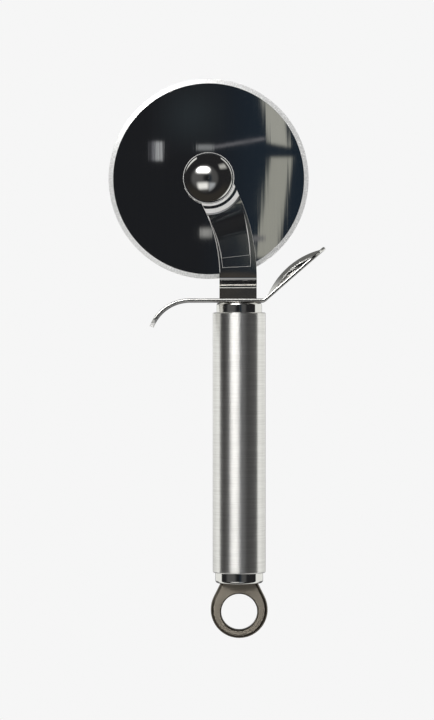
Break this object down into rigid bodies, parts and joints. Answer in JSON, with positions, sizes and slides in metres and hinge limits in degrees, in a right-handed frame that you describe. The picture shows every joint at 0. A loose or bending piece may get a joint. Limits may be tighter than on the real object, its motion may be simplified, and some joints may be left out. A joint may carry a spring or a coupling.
{
  "type": "pastry cutter wheel",
  "caption": "Pastry cutter with a bevelled steel wheel that spins on a cranked arm, a dished finger guard, a round tube handle and a hanging eye.",
  "frame": {"origin": "centre of the hole in the hanging eye", "axes": "+Z along the handle towards the wheel, -Y to the front with the arm and the dome, +X to the right seen from the front; the wheel turns about an axis parallel to Y"},
  "size_m": [0.0759, 0.0189, 0.1956],
  "materials": {
    "blade_steel": "mirror polished stainless steel",
    "polished_steel": "polished stainless steel",
    "satin_steel": "satin stainless steel, brushed round the tube",
    "cast_steel": "cast stainless steel, brownish and softly polished",
    "nylon": "natural white nylon"
  },
  "bodies": {
    "handle": {"handle_tube": "satin_steel", "upper_ferrule": "polished_steel", "lower_ferrule": "polished_steel", "hanging_eye": "cast_steel", "finger_guard": "polished_steel", "arm": "polished_steel", "tang_pin": "polished_steel", "axle_rivet": "polished_steel", "front_washer": "nylon", "back_washer": "polished_steel", "dome_cap": "polished_steel"},
    "wheel": {"blade": "blade_steel", "hub_bush": "nylon"}
  },
  "joints": [
    {"name": "wheel_spin", "type": "hinge", "parent": "handle", "child": "wheel", "pos_m": [-0.0107, 0, 0.1514], "axis": [0, 1, 0], "continuous": true}
  ]
}
